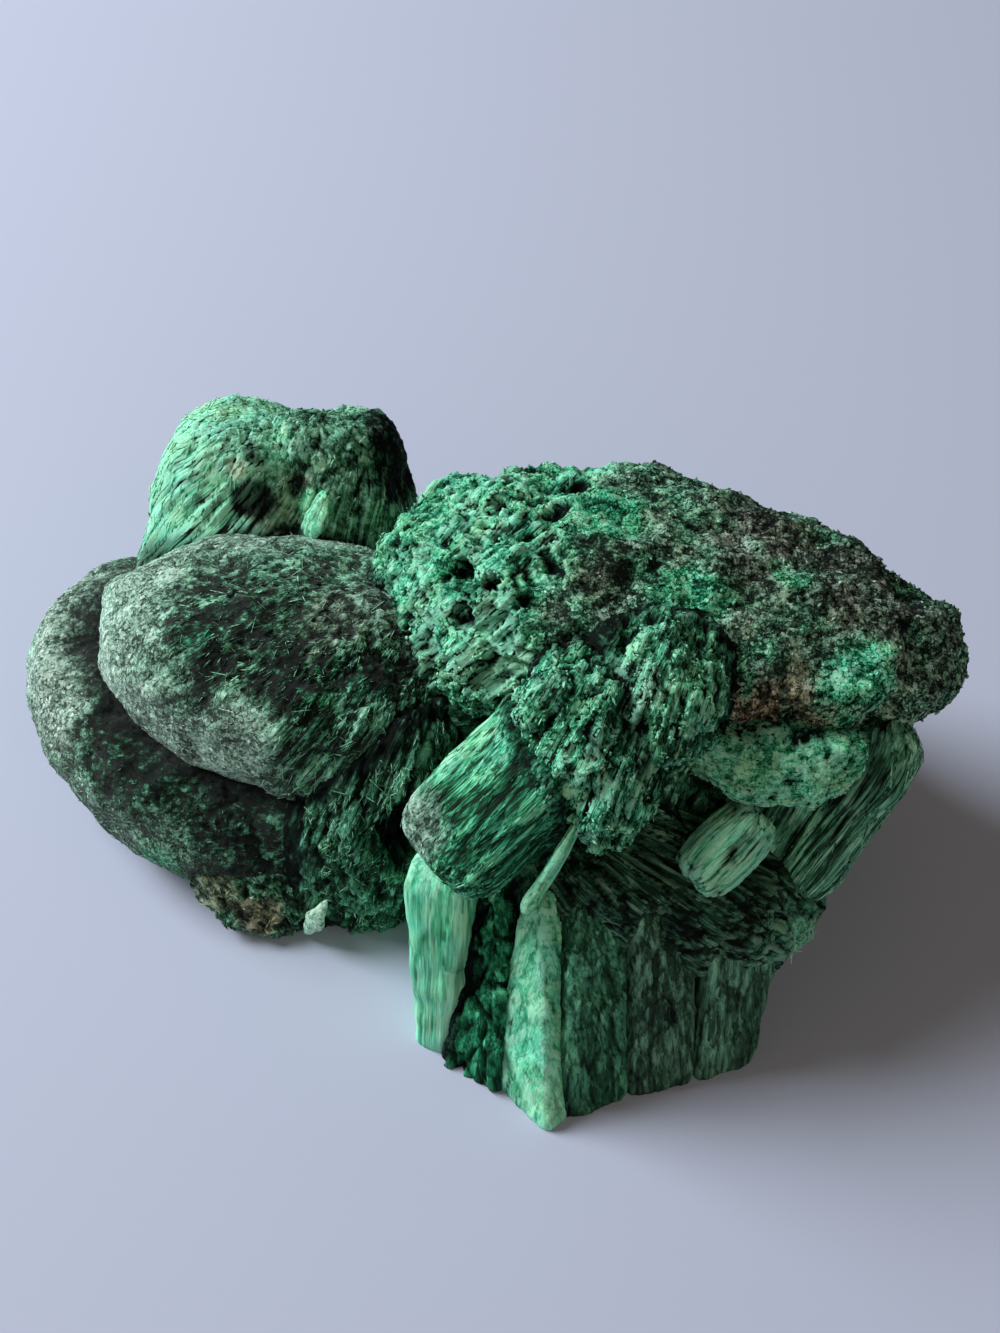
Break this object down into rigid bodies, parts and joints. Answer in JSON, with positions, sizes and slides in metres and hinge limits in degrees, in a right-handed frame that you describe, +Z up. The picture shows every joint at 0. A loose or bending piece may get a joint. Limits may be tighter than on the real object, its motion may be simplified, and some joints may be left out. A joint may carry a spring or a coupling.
{
  "type": "stalactitic malachite",
  "caption": "Loose hand specimen of fibrous green malachite: velvety rounded lobes, a crusted top, short fingers and a front of upright broken columns.",
  "frame": {"origin": "centre of the bounding box in plan, on the surface that the specimen rests on", "axes": "+X along the specimen's length, from the velvety lobes towards the crusted tip; -Y towards the broken column front; +Z up"},
  "size_m": [0.0958, 0.0704, 0.0387],
  "materials": {
    "malachite": "fibrous and velvety natural surface, matt to silky, bright mint to dark green, with grey-brown crust on top"
  },
  "bodies": {
    "root": {"malachite": "malachite"}
  },
  "joints": []
}
